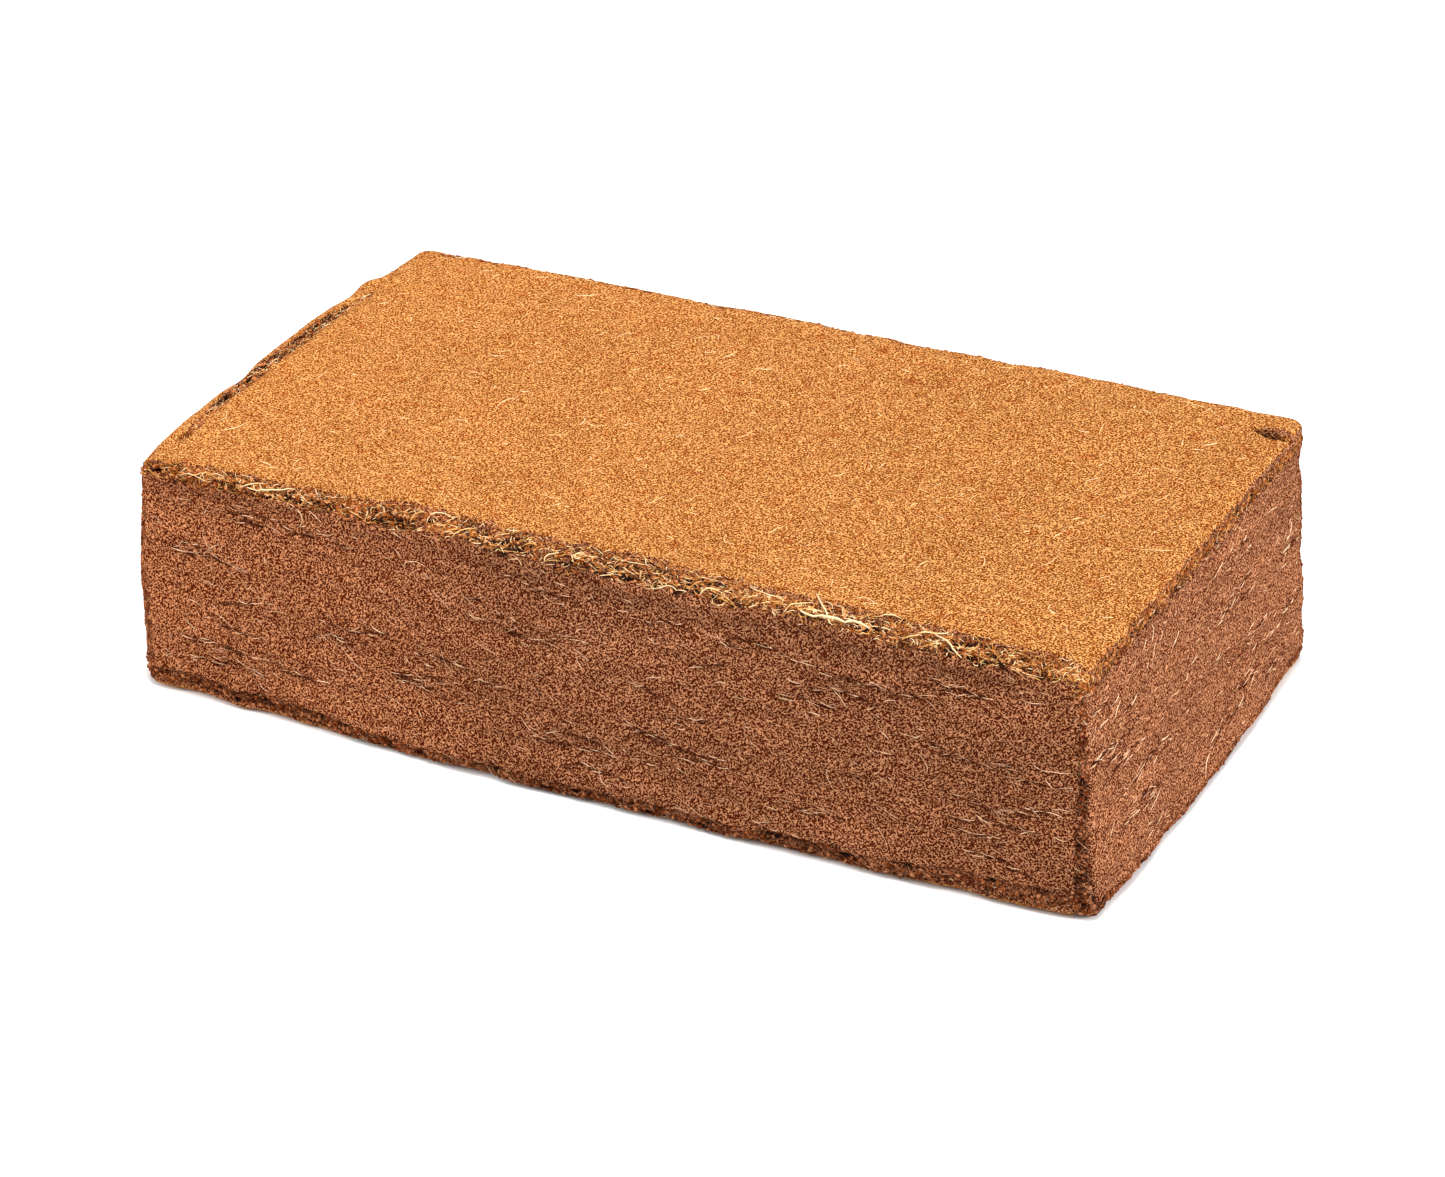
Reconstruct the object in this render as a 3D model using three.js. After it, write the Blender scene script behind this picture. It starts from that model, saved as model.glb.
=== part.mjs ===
// A pressed brick of coconut coir. Pith and short fibre were squeezed in a mould into one solid block.
// It lies on one of its two largest faces, with X along its length, Y along its width and Z upwards.
// The origin is on the surface that it rests on, under the middle of the block.
// Seen by someone who faces +Y, the front is the long side at -Y, and left is -X.

import * as THREE from "three";
import { ImprovedNoise } from "three/addons/math/ImprovedNoise.js";
import { mergeVertices } from "three/addons/utils/BufferGeometryUtils.js";

// Driving dimensions, in millimetres
const LENGTH = 200;
const WIDTH = 105;
const THICKNESS = 50.5;
const HALF = new THREE.Vector3(LENGTH, WIDTH, THICKNESS).multiplyScalar(0.5);

// The mould and the drying leave the block a little out of square: how far each corner moves.
// The block is 2 mm thicker at its back right corner, and both ends lean outwards to the foot.
const CORNERS = [
  { at: [-1, -1, 1], move: [0.8, 0.5, -0.4] },
  { at: [1, -1, 1], move: [-1.0, -0.6, -0.1] },
  { at: [1, 1, 1], move: [-1.4, 1.0, 1.6] },
  { at: [-1, 1, 1], move: [-0.2, 0.7, -0.6] },
  { at: [-1, -1, -1], move: [-2.6, -0.5, 0] },
  { at: [1, -1, -1], move: [2.0, 0.2, 0] },
  { at: [1, 1, -1], move: [0.9, 0.3, 0] },
  { at: [-1, 1, -1], move: [-1.4, 0.5, 0] },
];

// The twelve edges, each at the sides of the block that it names. radius is how far an edge is rounded.
// wear is how deep the places go where it has crumbled, and fringe how far torn fibre stands above it.
const EDGES = [
  { y: -1, z: 1, radius: 3.4, wear: 1.8, fringe: 0.9 },
  { x: -1, z: 1, radius: 3.0, wear: 1.7, fringe: 0.4 },
  { x: 1, z: 1, radius: 1.3, wear: 0.5, fringe: 0 },
  { y: 1, z: 1, radius: 1.4, wear: 0.5, fringe: 0 },
  { x: -1, y: -1, radius: 3.2, wear: 0.6, fringe: 0 },
  { x: 1, y: -1, radius: 1.2, wear: 0.7, fringe: 0 },
  { x: 1, y: 1, radius: 1.8, wear: 0.9, fringe: 0 },
  { x: -1, y: 1, radius: 6.0, wear: 0.4, fringe: 0 },
  { y: -1, z: -1, radius: 1.4, wear: 1.0, fringe: 0.3 },
  { x: -1, z: -1, radius: 2.6, wear: 0.9, fringe: 0 },
  { x: 1, z: -1, radius: 1.4, wear: 0.8, fringe: 0.2 },
  { y: 1, z: -1, radius: 1.8, wear: 0.9, fringe: 0 },
];
const WEAR_REACH = 7;
const WEAR_SIZE = 9;

// How far each side swells in the middle of its length, at its foot, halfway up and at its top.
// edges is how far its own upright edges bow out halfway up.
const SWELLS = [
  { side: "y", sign: -1, along: "x", foot: 3.0, middle: 1.5, top: 0.2, edges: 0 },
  { side: "y", sign: 1, along: "x", foot: 1.0, middle: 0.8, top: 0.6, edges: 0 },
  { side: "x", sign: -1, along: "y", foot: 1.4, middle: 2.2, top: 2.0, edges: 1.0 },
  { side: "x", sign: 1, along: "y", foot: 1.2, middle: 0.5, top: 0.2, edges: 0.3 },
];

// Low relief: soft lumps on the top, and the edges of the pressed layers on the four sides.
const TOP_RELIEF = 0.25;
const TOP_LUMP = 22;
const LAYER_RELIEF = 0.5;
const LAYER_HEIGHT = 10;
const LAYER_LENGTH = 45;

// A short crack runs across the top at the back right corner.
const CRACK = { start: [91, 45.6], end: [99, 44.8], reach: 2.4, depth: 1.6 };

// The mesh has this many steps along each axis. STEP_BIAS draws them closer together near the edges.
const STEPS = { x: 64, y: 20, z: 13 };
const STEP_BIAS = { x: 0.2, y: 0.36, z: 0.25 };

const AXES = ["x", "y", "z"];
const perlin = new ImprovedNoise();

// Smooth noise of about -1 to 1, in lumps of the given size in millimetres along X, Y and Z.
function lumps(point, sizeX, sizeY = sizeX, sizeZ = sizeX) {
  let sum = 0;
  for (const share of [1, 0.5, 0.25]) {
    const reach = [sizeX * share, sizeY * share, sizeZ * share];
    sum += share * perlin.noise(point.x / reach[0], point.y / reach[1], point.z / reach[2]);
  }
  return sum;
}

// How far a point of the plain box is from one of its edges.
function distanceToEdge(point, edge) {
  const gaps = AXES.filter((axis) => edge[axis]).map((axis) => edge[axis] * HALF[axis] - point[axis]);
  return Math.hypot(...gaps);
}

// A value of the edges at a point, mixed so that the nearest edge counts most.
function fromEdges(point, name) {
  let total = 0;
  let weights = 0;
  for (const edge of EDGES) {
    const weight = (1 + distanceToEdge(point, edge)) ** -3;
    total += weight * edge[name];
    weights += weight;
  }
  return total / weights;
}

// The even grid of the box geometry, from -1 to 1, drawn closer together towards the edges.
function spread(value, axis) {
  const bias = STEP_BIAS[axis];
  return HALF[axis] * value * (1 + bias - bias * value * value);
}

// A point of the plain box, moved onto its rounded edges and corners, with the direction that it faces.
function rounded(point) {
  const radius = fromEdges(point, "radius");
  const inner = HALF.clone().subScalar(radius);
  const core = point.clone().clamp(inner.clone().negate(), inner);
  const facing = point.clone().sub(core).normalize();
  return { place: core.addScaledVector(facing, radius), facing };
}

// Crumbled places and torn fibre along the edges, outwards where it's above 0.
function edgeWear(point, place) {
  const nearest = Math.min(...EDGES.map((edge) => distanceToEdge(point, edge)));
  const near = 1 - THREE.MathUtils.smoothstep(nearest, 0, WEAR_REACH);
  const broken = THREE.MathUtils.smoothstep(lumps(place, WEAR_SIZE), -0.15, 0.45);
  const torn = fromEdges(point, "fringe") * (1 - broken);
  return near * (torn - broken * fromEdges(point, "wear"));
}

// The low relief of the faces, which leaves the foot flat.
function relief(place, facing) {
  const side = Math.hypot(facing.x, facing.y);
  const top = Math.max(0, facing.z);
  const layers = lumps(place, LAYER_LENGTH, LAYER_LENGTH, LAYER_HEIGHT);
  return side * LAYER_RELIEF * layers + top * TOP_RELIEF * lumps(place, TOP_LUMP);
}

// How deep the crack at the back right corner is at a point of the top.
function crack(place, facing) {
  const line = new THREE.Line3(
    new THREE.Vector3(CRACK.start[0], CRACK.start[1], place.z),
    new THREE.Vector3(CRACK.end[0], CRACK.end[1], place.z),
  );
  const nearest = line.closestPointToPoint(place, true, new THREE.Vector3());
  const near = 1 - THREE.MathUtils.smoothstep(nearest.distanceTo(place), 0, CRACK.reach);
  return CRACK.depth * near * Math.max(0, facing.z);
}

// The swelling of the four sides, which fades towards the side across the block.
function swell(place) {
  const move = new THREE.Vector3();
  const up = place.z / HALF.z;
  const halfway = 1 - up * up;
  for (const { side, sign, along, foot, middle, top, edges } of SWELLS) {
    const near = Math.max(0, (sign * place[side]) / HALF[side]);
    const inwards = Math.max(0, 1 - (place[along] / HALF[along]) ** 2);
    const bow = (up < 0 ? foot : top) * up * up + middle * halfway;
    move[side] += sign * near * (bow * inwards + edges * halfway);
  }
  place.add(move);
}

// The corners' moves, shared out over the block.
function outOfSquare(place) {
  const move = new THREE.Vector3();
  for (const corner of CORNERS) {
    const shares = AXES.map((axis, i) => 0.5 * (1 + (corner.at[i] * place[axis]) / HALF[axis]));
    const share = shares[0] * shares[1] * shares[2];
    move.addScaledVector(new THREE.Vector3(...corner.move), share);
  }
  place.add(move);
}

function brickGeometry() {
  const box = new THREE.BoxGeometry(2, 2, 2, STEPS.x, STEPS.y, STEPS.z);
  box.deleteAttribute("normal");
  box.deleteAttribute("uv");
  const geometry = mergeVertices(box);
  const positions = geometry.attributes.position;
  const grid = new THREE.Vector3();
  for (let i = 0; i < positions.count; i += 1) {
    grid.fromBufferAttribute(positions, i);
    const point = new THREE.Vector3(...AXES.map((axis) => spread(grid[axis], axis)));
    const { place, facing } = rounded(point);
    const out = edgeWear(point, place) + relief(place, facing) - crack(place, facing);
    // The foot stays a plane: what faces down moves sideways only.
    const sideways = facing.z < 0 ? facing.clone().setZ(0) : facing;
    place.addScaledVector(sideways, out);
    swell(place);
    outOfSquare(place);
    positions.setXYZ(i, place.x, place.y, place.z);
  }
  geometry.computeBoundingBox();
  const { min, max } = geometry.boundingBox;
  geometry.translate(-(min.x + max.x) / 2, -(min.y + max.y) / 2, -min.z);
  geometry.computeVertexNormals();
  return geometry;
}

const coir = new THREE.MeshStandardMaterial({ color: 0xb9743f, roughness: 0.95, metalness: 0 });

const brick = new THREE.Mesh(brickGeometry(), coir);
brick.name = "coir_brick";

const part = new THREE.Group();
part.add(brick);

export default part;
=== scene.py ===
"""A pressed brick of coconut coir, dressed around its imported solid.

The solid gives the block's form. This file lays a finer skin over it, with the granular crust of the
two pressed faces, the layers that show on the four sides and the crumbled edges. Then come the fibres,
bits and crumbs on that skin, and a plain stage with the camera.

Directions are those of the solid: X along the block, Y across it and Z up. The front is the long side
at -Y. Lengths inside the functions are in millimetres unless they say otherwise.
"""

from typing import NamedTuple

import bmesh
import bpy
import numpy as np
from bpy.props import FloatProperty, FloatVectorProperty, IntProperty, PointerProperty
from mathutils import Matrix, Vector, noise
from mathutils.bvhtree import BVHTree


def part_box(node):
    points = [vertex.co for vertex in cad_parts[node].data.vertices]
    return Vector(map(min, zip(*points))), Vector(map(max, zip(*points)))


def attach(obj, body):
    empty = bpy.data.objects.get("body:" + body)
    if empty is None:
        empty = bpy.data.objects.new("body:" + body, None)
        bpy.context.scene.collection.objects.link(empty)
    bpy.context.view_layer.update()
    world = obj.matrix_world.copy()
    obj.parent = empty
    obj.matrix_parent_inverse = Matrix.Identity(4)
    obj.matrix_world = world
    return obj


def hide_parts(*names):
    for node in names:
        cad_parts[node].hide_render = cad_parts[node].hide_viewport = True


bl_info = {
    "name": "Coconut Coir Brick",
    "version": (1, 0, 0),
    "blender": (4, 5, 0),
    "location": "View3D > Sidebar > Coir",
    "description": "Dresses a pressed coir block with its crust, layers, fibres, grains and crumbs",
    "category": "Add Mesh",
}

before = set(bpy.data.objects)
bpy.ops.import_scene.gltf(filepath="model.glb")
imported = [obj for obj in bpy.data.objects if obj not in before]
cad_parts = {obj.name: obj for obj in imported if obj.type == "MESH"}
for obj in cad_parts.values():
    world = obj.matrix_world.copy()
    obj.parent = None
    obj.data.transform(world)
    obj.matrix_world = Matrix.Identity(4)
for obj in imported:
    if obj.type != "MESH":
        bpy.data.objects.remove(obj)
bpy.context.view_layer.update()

NODE = "coir_brick"
BODY = "root"

# Lengths are written in millimetres, and MM turns them into the scene's metres.
MM = 0.001
X, Y, Z = 0, 1, 2

LOW, HIGH = (np.array(corner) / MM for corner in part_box(NODE))
CENTRE = (LOW + HIGH) / 2
HALF = (HIGH - LOW) / 2


class WornEdge(NamedTuple):
    """A stretch of edge that has crumbled or torn.

    sides are the two sides that meet there. Each row is a place along the edge, how far the worn band's
    middle lies in from the edge along each of the two axes, and half of the band's width. depth is how
    deep it goes, and crust_ends says that the crust stops there.
    """

    sides: dict
    rows: tuple
    depth: float
    crust_ends: bool = False


# The torn fringe lies over the rounded edge at its left end, and further in on the top to its right.
FRONT_TOP = WornEdge(
    {Y: -1, Z: 1},
    (
        (-102, 0.3, -0.2, 1.3),
        (-96, 0.4, -0.4, 1.6),
        (-88, 0.9, -0.2, 2.2),
        (-80, 1.6, -0.4, 2.5),
        (-56, 2.1, -0.9, 2.5),
        (-48, 2.6, -0.9, 3.3),
        (-40, 3.7, -0.9, 3.7),
        (-16, 3.7, -0.6, 3.9),
        (0, 3.3, -0.7, 3.7),
        (8, 3.7, -0.9, 4.0),
        (24, 3.6, -1.0, 3.6),
        (84, 3.4, -1.2, 3.5),
        (94, 3.3, -1.5, 2.6),
        (103, 2.6, -1.0, 2.0),
    ),
    1.5,
    True,
)
LEFT_TOP = WornEdge(
    {X: -1, Z: 1},
    (
        (-42, 4.8, -1.8, 0.4),
        (-26, 3.3, -1.5, 1.0),
        (-13, 2.0, -1.0, 1.8),
        (3, 2.6, -0.6, 1.9),
        (17, 3.4, -0.6, 1.6),
        (30, 4.2, -1.2, 0.5),
    ),
    1.2,
)
RIGHT_TOP = WornEdge(
    {X: 1, Z: 1}, ((-52, 0.7, 0.3, 1.7), (0, 0.6, 0.2, 1.5), (52, 0.4, 0.2, 1.0)), 0.85, True
)
BACK_TOP = WornEdge({Y: 1, Z: 1}, ((-103, 0.2, 0.6, 0.7), (103, 0.2, 0.6, 0.9)), 0.35)
FRONT_LEFT = WornEdge({X: -1, Y: -1}, ((0, 0.2, 0.2, 1.2), (50, 0.2, 0.2, 1.0)), 0.4)
FRONT_RIGHT = WornEdge({X: 1, Y: -1}, ((0, 0.2, 0.4, 2.2), (22, 0.2, 0.3, 1.2), (50, 0.2, 0.2, 0.8)), 0.7)
BACK_RIGHT = WornEdge({X: 1, Y: 1}, ((0, 0.2, 0.2, 1.6), (50, 0.2, 0.2, 1.2)), 0.6)
BACK_LEFT = WornEdge({X: -1, Y: 1}, ((0, 0.2, 0.2, 1.2), (50, 0.2, 0.2, 1.0)), 0.35)
FRONT_FOOT = WornEdge({Y: -1, Z: -1}, ((-103, 0.0, 0.6, 1.5), (103, 0.0, 0.8, 2.1)), 0.9)
LEFT_FOOT = WornEdge({X: -1, Z: -1}, ((-54, 0.0, 0.6, 1.5), (54, 0.0, 0.6, 1.5)), 0.8)
RIGHT_FOOT = WornEdge({X: 1, Z: -1}, ((-54, 0.0, 0.7, 1.8), (54, 0.0, 0.6, 1.5)), 0.8)
BACK_FOOT = WornEdge({Y: 1, Z: -1}, ((-103, 0.0, 0.6, 1.5), (103, 0.0, 0.6, 1.6)), 0.8)
TOP_EDGES = (FRONT_TOP, LEFT_TOP, RIGHT_TOP, BACK_TOP)
UPRIGHT_EDGES = (FRONT_LEFT, FRONT_RIGHT, BACK_RIGHT, BACK_LEFT)
FOOT_EDGES = (FRONT_FOOT, LEFT_FOOT, RIGHT_FOOT, BACK_FOOT)
OTHER_EDGES = (*UPRIGHT_EDGES, *FOOT_EDGES)
WORN_EDGES = (*TOP_EDGES, *OTHER_EDGES)

# The edges that the photo shows best, where the skin's faces are half as long.
FINE_EDGES = (FRONT_TOP, LEFT_TOP, RIGHT_TOP, FRONT_FOOT, RIGHT_FOOT)

# The worn lines, filled in by the skin's operator and used by those that come after it.
LINES = []

# The crack in the crust at the back right corner, from above, with half of its width at each place.
# The flake behind it stands higher.
CRACK = ((91.8, 46.0, 0.2), (93.6, 45.5, 0.4), (95.4, 44.9, 0.6), (97.0, 45.0, 0.55), (98.6, 45.7, 0.25))
CRACK_DEPTH = 2.6
FLAKE_RISE = 1.0
FLAKE_REACH = 5.0

# How much painted shade the splits and the crack get. The crack's middle gets the darkest painted shade.
SPLIT_SHADE = 0.15
CRACK_SHADE = 1.5

# The painted shade on the layers just under a torn edge, from 0 to 1, and how far wear reaches in half
# widths.
EDGE_SHADE = 0.3
WEAR_REACH = 2.6

# The skin is cast onto the solid from a box with its edges rounded by this radius, from this far outside.
WRAP_RADIUS = 6.0
CAST_FROM = 20.0

# How far the skin's points are drawn towards the edges, along each axis.
FACE_DRAW = (0.1, 0.16, 0.1)

# How far the skin of the foot may rise from the floor.
FOOT_RELIEF = 0.35

# The splits between the layers: their lengths, the ends and heights that they keep clear of, and their
# slope, which on the long sides is downwards to the right.
SPLIT_SEED = 17
SPLIT_LENGTHS = (4, 20)
CLEAR_ENDS = 2
CLEAR_FOOT = 5
CLEAR_TOP = 7
SPLIT_SLOPE = 0.05

# The slope of most fibres on the long sides. On the front they too run downwards to the right.
FIBRE_SLOPE = 0.3


def smoothstep(low, high, values):
    share = np.clip((values - low) / (high - low), 0, 1)
    return share * share * (3 - 2 * share)


def field(places, size, shift=0.0):
    """Smooth noise of about -1 to 1 at many places, in lumps of that size along each axis."""
    scaled = np.asarray(places) / size + shift
    return np.array([noise.noise(place) for place in scaled.tolist()])


class SkinSettings(bpy.types.PropertyGroup):
    """The skin's mesh and its relief."""

    cell: FloatProperty(
        name="Cell", description="Length of one face of the skin", default=1.25 * MM, unit="LENGTH"
    )
    layer_cell: FloatProperty(
        name="Layer cell",
        description="Height of one face of the skin on the sides",
        default=0.62 * MM,
        unit="LENGTH",
    )
    crust_relief: FloatProperty(
        name="Crust relief",
        description="Height of the lumps on the pressed faces",
        default=0.08 * MM,
        unit="LENGTH",
    )
    layer_relief: FloatProperty(
        name="Layer relief",
        description="Height of the ridges along the layers",
        default=0.2 * MM,
        unit="LENGTH",
    )
    split_depth: FloatProperty(
        name="Split depth",
        description="Depth of the splits between layers",
        default=0.2 * MM,
        unit="LENGTH",
    )
    splits: FloatProperty(
        name="Splits", description="Splits to each square centimetre of the sides", default=0.5
    )


class FibreSettings(bpy.types.PropertyGroup):
    """How thick the fibres are, and how many lie on each square centimetre."""

    thickness: FloatProperty(
        name="Thickness", description="Diameter of a usual fibre", default=0.24 * MM, unit="LENGTH"
    )
    on_layers: FloatProperty(
        name="On the sides", description="Fibres to each square centimetre of the sides", default=5.0
    )
    on_crust: FloatProperty(
        name="On the crust", description="Fibres to each square centimetre of the crust", default=2.2
    )
    in_fringe: FloatProperty(
        name="In the fringe", description="Fibres to each centimetre of the torn front edge", default=270.0
    )
    on_edges: FloatProperty(
        name="On the other edges", description="Fibres to each centimetre of a worn edge", default=14.0
    )
    seed: IntProperty(name="Seed", description="Start of the random draws", default=41)


class PithSettings(bpy.types.PropertyGroup):
    """Bits of short fibre on the faces, and crumbs along the edges."""

    crust_bits: FloatProperty(
        name="Bits on the crust", description="To each square centimetre of the pressed faces", default=60.0
    )
    layer_bits: FloatProperty(
        name="Bits on the sides", description="To each square centimetre of the sides", default=55.0
    )
    bit: FloatProperty(
        name="Bit", description="Thickness of a usual bit of fibre", default=0.21 * MM, unit="LENGTH"
    )
    crumb: FloatProperty(
        name="Crumb", description="Width of a usual crumb on an edge", default=0.85 * MM, unit="LENGTH"
    )
    crumbs: FloatProperty(
        name="Crumbs", description="Crumbs to each square centimetre of a worn edge", default=150.0
    )
    seed: IntProperty(name="Seed", description="Start of the random draws", default=7)


def colour_property(name, description, default):
    return FloatVectorProperty(
        name=name, description=description, default=default, subtype="COLOR", min=0.0, max=1.0
    )


class ColourSettings(bpy.types.PropertyGroup):
    """Colours of the dry coir."""

    crust_dark: colour_property("Crust, dark", "Pores of the pressed crust", (0.2, 0.042, 0.002))
    crust_mid: colour_property("Crust", "Most of the pressed crust", (0.485, 0.163, 0.029))
    crust_light: colour_property("Crust, light", "Dusty grains of the crust", (0.76, 0.37, 0.125))
    layer_dark: colour_property("Layer, dark", "Pores between the layers", (0.07, 0.009, 0.0008))
    layer_mid: colour_property("Layer", "Most of the cut sides", (0.215, 0.0525, 0.013))
    layer_light: colour_property("Layer, light", "Frayed pith on the sides", (0.56, 0.245, 0.118))
    straw: colour_property("Straw", "Long golden fibres", (0.74, 0.38, 0.11))
    straw_pale: colour_property("Straw, pale", "The palest fibres of the fringe", (0.93, 0.69, 0.39))
    thread: colour_property("Thread", "The palest fibres of the sides", (0.95, 0.64, 0.40))
    husk: colour_property("Husk", "Red brown fibres", (0.24, 0.065, 0.02))


class StageSettings(bpy.types.PropertyGroup):
    """The camera's place, and the floor and light round the block."""

    azimuth: FloatProperty(
        name="Azimuth", description="Turn of the camera round the block, from the front", default=28.54
    )
    elevation: FloatProperty(
        name="Elevation", description="Height of the camera above the horizon", default=29.7
    )
    roll: FloatProperty(name="Roll", description="Lean of the camera", default=-1.857)
    distance: FloatProperty(
        name="Distance", description="From the camera to its aim", default=0.944, unit="LENGTH"
    )
    lens: FloatProperty(name="Lens", description="Focal length on a 36 mm sensor", default=119.6)
    floor_colour: colour_property("Floor", "The plain pale floor", (0.9, 0.9, 0.9))


# The skin


def brick_grid(mesh, cells):
    """A box from -1 to 1 with that many faces along each axis."""
    bmesh.ops.create_cube(mesh, size=2.0)
    for axis, count in enumerate(cells):
        uncut = [e for e in mesh.edges if abs(e.verts[0].co[axis] - e.verts[1].co[axis]) > 1.5]
        bmesh.ops.subdivide_edges(mesh, edges=uncut, cuts=count - 1, use_grid_fill=True)


def spread(mesh):
    """Widens the box to the block's own box, with its faces closer together near the edges."""
    plain = np.array([v.co for v in mesh.verts])
    return HALF * plain * (1 + np.array(FACE_DRAW) * (1 - plain**2))


def solid_tree():
    """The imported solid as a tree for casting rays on, in millimetres."""
    solid = bmesh.new()
    solid.from_mesh(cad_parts[NODE].data)
    bmesh.ops.remove_doubles(solid, verts=solid.verts, dist=0.001 * MM)
    bmesh.ops.scale(solid, vec=Vector((1, 1, 1)) / MM, verts=solid.verts)
    tree = BVHTree.FromBMesh(solid)
    solid.free()
    return tree


def smooth(skin, passes):
    for _ in range(passes):
        bmesh.ops.smooth_vert(
            skin, verts=skin.verts, factor=0.5, use_axis_x=True, use_axis_y=True, use_axis_z=True
        )


def smooth_skin(cell, layer_cell):
    """A smooth skin, cast from a plain box onto the solid, and its points on the plain box."""
    cells = [int(round(2 * HALF[axis] / step)) for axis, step in enumerate((cell, cell, layer_cell))]
    skin = bmesh.new()
    brick_grid(skin, cells)
    plain = spread(skin)
    core = np.clip(plain, WRAP_RADIUS - HALF, HALF - WRAP_RADIUS)
    facing = (plain - core) / np.linalg.norm(plain - core, axis=1)[:, None]
    tree = solid_tree()
    for vert, start, ray in zip(skin.verts, CENTRE + core + facing * CAST_FROM, facing):
        start, ray = Vector(start), Vector(ray)
        hit = tree.ray_cast(start, -ray)[0]
        vert.co = hit or tree.find_nearest(start)[0]
    smooth(skin, 4)
    return skin, plain


def worn_line(edge, plain, places):
    """The middle of a worn band as points on the block, with half of the band's width at each."""
    first, second = edge.sides
    along = ({X, Y, Z} - set(edge.sides)).pop()
    on_edge = np.all([np.abs(plain[:, a] - s * HALF[a]) < 0.01 for a, s in edge.sides.items()], axis=0)
    corner = places[on_edge]
    corner = corner[np.argsort(corner[:, along])]
    rows = np.array(edge.rows, float)
    stops = np.arange(rows[0, 0], rows[-1, 0] + 1, 4.0)
    line = np.empty((len(stops), 3))
    line[:, along] = stops
    for axis, column in ((first, 1), (second, 2)):
        inset = np.interp(stops, rows[:, 0], rows[:, column])
        line[:, axis] = np.interp(stops, corner[:, along], corner[:, axis]) - edge.sides[axis] * inset
    return line, np.interp(stops, rows[:, 0], rows[:, 3])


def share_from_line(line, widths, places):
    """How far places are from a line, as a share of the half width that it has there."""
    share = np.full(len(places), 9.0)
    low, high = line.min(axis=0) - 6, line.max(axis=0) + 6
    near = np.flatnonzero(np.all((places > low) & (places < high), axis=1))
    for start, end, wide, wide_end in zip(line, line[1:], widths, widths[1:]):
        run = end - start
        part = np.clip((places[near] - start) @ run / (run @ run), 0, 1)
        gap = np.linalg.norm(places[near] - start - part[:, None] * run, axis=1)
        share[near] = np.minimum(share[near], gap / (wide + (wide_end - wide) * part))
    return share


def worn_lines(plain, places):
    return [(edge, *worn_line(edge, plain, places)) for edge in WORN_EDGES]


def refine_worn(skin, lines):
    """Halves the faces of the skin where it is torn, and twice round the crack."""
    places = np.array([v.co for v in skin.verts])
    finest = np.full(len(places), 9.0)
    for edge, line, widths in lines:
        if edge in FINE_EDGES:
            finest = np.minimum(finest, share_from_line(line, widths, places))
    halve_faces(skin, finest < 1.15)
    line, _ = crack_line()
    for reach in (3.0, 1.8):
        flat = np.array([v.co for v in skin.verts])
        flat[flat[:, Z] > HIGH[Z] - 5, Z] = 0
        halve_faces(skin, share_from_line(line, np.full(len(line), reach), flat) < 1)
    skin.normal_update()


def halve_faces(skin, chosen):
    """Halves the faces between the chosen points, given as true or false for each point."""
    edges = [e for e in skin.edges if chosen[e.verts[0].index] and chosen[e.verts[1].index]]
    bmesh.ops.subdivide_edges(skin, edges=edges, cuts=1, use_grid_fill=True)
    skin.verts.index_update()


def crack_line():
    """The crack's middle at the height 0, and half of its width at each place."""
    rows = np.array(CRACK)
    return rows * (1, 1, 0), rows[:, 2]


def pebbles(places, size):
    """Pebbly lumps, from 1 in the middle of each to 0 in the crevices between them."""
    height = np.empty(len(places))
    for index, place in enumerate((places / size).tolist()):
        gaps, _ = noise.voronoi(place)
        height[index] = gaps[1] - gaps[0]
    return smoothstep(0.0, 0.45, height)


def torn_relief(places, lines):
    """How deep the skin lies where it is worn, how much painted shade it gets there and how much of its
    crust is gone.
    """
    depth = np.zeros(len(places))
    painted_shade = np.zeros(len(places))
    bare = np.zeros(len(places))
    for edge, line, widths in lines:
        share = share_from_line(line, widths, places)
        near = np.flatnonzero(share < WEAR_REACH)
        spots = places[near]
        ragged = share[near] + 0.3 * field(spots, 2.6) + 0.2 * field(spots, 1.1)
        inside = 1 - smoothstep(0.88, 1.05, ragged)
        patch = smoothstep(-0.45, 0.25, field(spots, 7.5, 3.7) + 0.4 * field(spots, 2.6))
        lumps = pebbles(spots + 0.5 * field(spots, 1.7)[:, None], 1.9)
        pits = smoothstep(0.0, 0.4, field(spots, 2.1, 8.1)) * smoothstep(0.15, 0.6, 1.2 - ragged)
        here = edge.depth * inside * (0.3 + 0.35 * (1 - lumps) + 0.65 * pits) * (0.45 + 0.55 * patch)
        depth[near] = np.maximum(depth[near], here)
        # Painted shade in the worn band's pits and crevices, deepest in the pits and between the lumps.
        dark = inside * (0.6 + 0.8 * pits + 0.5 * (1 - lumps)) * (0.4 + 0.6 * patch)
        painted_shade[near] = np.maximum(painted_shade[near], dark * min(1.0, 0.2 + 0.6 * edge.depth))
        gone = inside * np.minimum(1.0, 0.55 + 0.45 * patch + 0.25 * edge.depth)
        if edge.crust_ends:
            side, _ = edge.sides
            (along,) = {X, Y, Z} - set(edge.sides)
            beyond = spots[:, side] - np.interp(spots[:, along], line[:, along], line[:, side])
            ragged_end = edge.sides[side] * beyond + 0.5 * field(spots, 1.6)
            gone = np.maximum(gone, smoothstep(-0.2, 0.6, ragged_end))
            # The layers just under a torn edge get painted shade, for the shadow of its overhang.
            fading = 1 - smoothstep(1.1, 2.5, share[near])
            under = EDGE_SHADE * smoothstep(0.4, 1.0, ragged_end) * fading
            painted_shade[near] = np.maximum(painted_shade[near], under)
            # The pits of the torn edge get shallower towards the crust, and their painted shade fainter.
            wide = np.interp(spots[:, along], line[:, along], widths)
            inwards = smoothstep(0.1, 0.9, -edge.sides[side] * beyond / wide)
            painted_shade[near] *= 1 - 0.6 * inwards
            depth[near] *= 1 - 0.35 * inwards
        bare[near] = np.maximum(bare[near], gone)
    return depth, painted_shade, np.clip(bare, 0, 1)


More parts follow.
